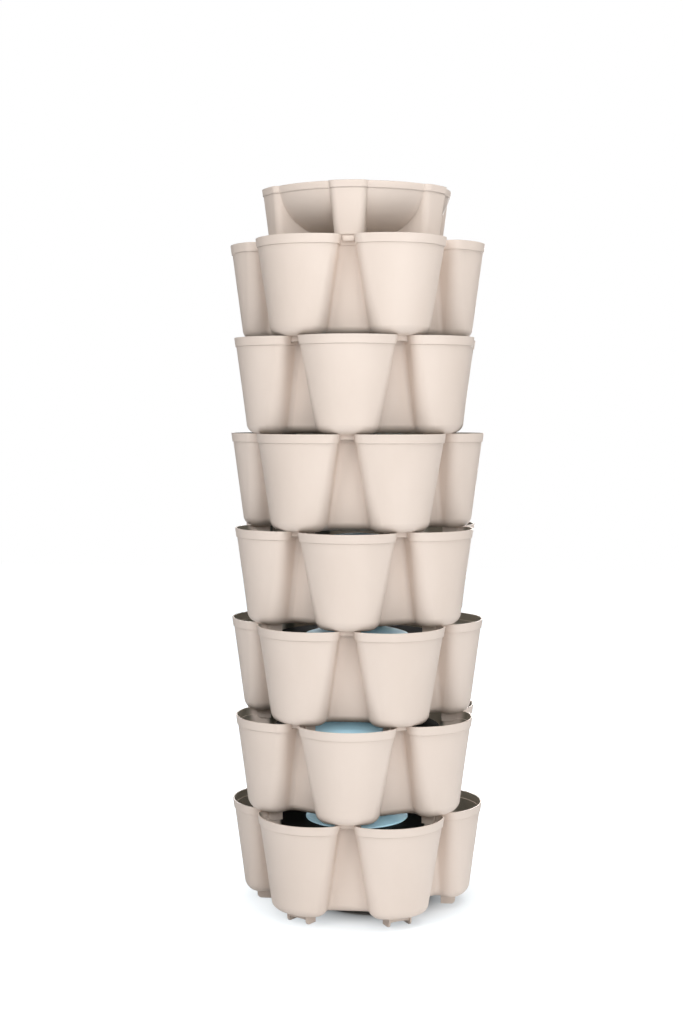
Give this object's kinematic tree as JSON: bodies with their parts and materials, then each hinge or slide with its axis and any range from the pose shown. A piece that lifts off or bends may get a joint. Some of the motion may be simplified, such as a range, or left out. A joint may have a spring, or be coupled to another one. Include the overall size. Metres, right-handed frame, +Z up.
{
  "type": "vertical planter tower",
  "caption": "Stacked vertical planter tower: six-pocket tiers turned half a pocket on each other, water discs on supports inside, fluted water bowl on top.",
  "frame": {"origin": "on the floor, under the tower's vertical axis", "axes": "+Z up along the tower's axis; a pocket of every even tier, and a valley of every odd tier, points along -Y, the front"},
  "size_m": [0.457, 0.457, 1.2825],
  "materials": {
    "planter_plastic": "fine matt moulded plastic, warm cream",
    "support_plastic": "black moulded plastic",
    "water_disc_plastic": "smooth satin blue plastic"
  },
  "bodies": {
    "tier_1": {"tier_1": "planter_plastic"},
    "tier_2": {"tier_2": "planter_plastic"},
    "tier_3": {"tier_3": "planter_plastic"},
    "tier_4": {"tier_4": "planter_plastic"},
    "tier_5": {"tier_5": "planter_plastic"},
    "tier_6": {"tier_6": "planter_plastic"},
    "tier_7": {"tier_7": "planter_plastic"},
    "support_1": {"support_1": "support_plastic"},
    "support_2": {"support_2": "support_plastic"},
    "support_3": {"support_3": "support_plastic"},
    "support_4": {"support_4": "support_plastic"},
    "support_5": {"support_5": "support_plastic"},
    "support_6": {"support_6": "support_plastic"},
    "water_disc_1": {"water_disc_1": "water_disc_plastic"},
    "water_disc_2": {"water_disc_2": "water_disc_plastic"},
    "water_disc_3": {"water_disc_3": "water_disc_plastic"},
    "water_disc_4": {"water_disc_4": "water_disc_plastic"},
    "water_disc_5": {"water_disc_5": "water_disc_plastic"},
    "water_disc_6": {"water_disc_6": "water_disc_plastic"},
    "reservoir": {"reservoir": "planter_plastic"}
  },
  "joints": [
    {"name": "tier_2_lift", "type": "slide", "parent": "tier_1", "child": "tier_2", "axis": [0, 0, 1], "range_m": [0, 0.09]},
    {"name": "tier_3_lift", "type": "slide", "parent": "tier_2", "child": "tier_3", "axis": [0, 0, 1], "range_m": [0, 0.09]},
    {"name": "tier_4_lift", "type": "slide", "parent": "tier_3", "child": "tier_4", "axis": [0, 0, 1], "range_m": [0, 0.09]},
    {"name": "tier_5_lift", "type": "slide", "parent": "tier_4", "child": "tier_5", "axis": [0, 0, 1], "range_m": [0, 0.09]},
    {"name": "tier_6_lift", "type": "slide", "parent": "tier_5", "child": "tier_6", "axis": [0, 0, 1], "range_m": [0, 0.09]},
    {"name": "tier_7_lift", "type": "slide", "parent": "tier_6", "child": "tier_7", "axis": [0, 0, 1], "range_m": [0, 0.09]},
    {"name": "reservoir_lift", "type": "slide", "parent": "tier_7", "child": "reservoir", "axis": [0, 0, 1], "range_m": [0, 0.09]},
    {"name": "support_1_lift", "type": "slide", "parent": "tier_1", "child": "support_1", "axis": [0, 0, 1], "range_m": [0, 0.0225]},
    {"name": "water_disc_1_lift", "type": "slide", "parent": "support_1", "child": "water_disc_1", "axis": [0, 0, 1], "range_m": [0, 0.0225]},
    {"name": "support_2_lift", "type": "slide", "parent": "tier_2", "child": "support_2", "axis": [0, 0, 1], "range_m": [0, 0.0225]},
    {"name": "water_disc_2_lift", "type": "slide", "parent": "support_2", "child": "water_disc_2", "axis": [0, 0, 1], "range_m": [0, 0.0225]},
    {"name": "support_3_lift", "type": "slide", "parent": "tier_3", "child": "support_3", "axis": [0, 0, 1], "range_m": [0, 0.0225]},
    {"name": "water_disc_3_lift", "type": "slide", "parent": "support_3", "child": "water_disc_3", "axis": [0, 0, 1], "range_m": [0, 0.0225]},
    {"name": "support_4_lift", "type": "slide", "parent": "tier_4", "child": "support_4", "axis": [0, 0, 1], "range_m": [0, 0.0225]},
    {"name": "water_disc_4_lift", "type": "slide", "parent": "support_4", "child": "water_disc_4", "axis": [0, 0, 1], "range_m": [0, 0.0225]},
    {"name": "support_5_lift", "type": "slide", "parent": "tier_5", "child": "support_5", "axis": [0, 0, 1], "range_m": [0, 0.0225]},
    {"name": "water_disc_5_lift", "type": "slide", "parent": "support_5", "child": "water_disc_5", "axis": [0, 0, 1], "range_m": [0, 0.0225]},
    {"name": "support_6_lift", "type": "slide", "parent": "tier_6", "child": "support_6", "axis": [0, 0, 1], "range_m": [0, 0.0225]},
    {"name": "water_disc_6_lift", "type": "slide", "parent": "support_6", "child": "water_disc_6", "axis": [0, 0, 1], "range_m": [0, 0.0225]}
  ],
  "couplings": [
    {"joint": "support_1_lift", "follows": "tier_2_lift", "ratio": 0.25},
    {"joint": "water_disc_1_lift", "follows": "tier_2_lift", "ratio": 0.25},
    {"joint": "support_2_lift", "follows": "tier_3_lift", "ratio": 0.25},
    {"joint": "water_disc_2_lift", "follows": "tier_3_lift", "ratio": 0.25},
    {"joint": "support_3_lift", "follows": "tier_4_lift", "ratio": 0.25},
    {"joint": "water_disc_3_lift", "follows": "tier_4_lift", "ratio": 0.25},
    {"joint": "support_4_lift", "follows": "tier_5_lift", "ratio": 0.25},
    {"joint": "water_disc_4_lift", "follows": "tier_5_lift", "ratio": 0.25},
    {"joint": "support_5_lift", "follows": "tier_6_lift", "ratio": 0.25},
    {"joint": "water_disc_5_lift", "follows": "tier_6_lift", "ratio": 0.25},
    {"joint": "support_6_lift", "follows": "tier_7_lift", "ratio": 0.25},
    {"joint": "water_disc_6_lift", "follows": "tier_7_lift", "ratio": 0.25}
  ]
}
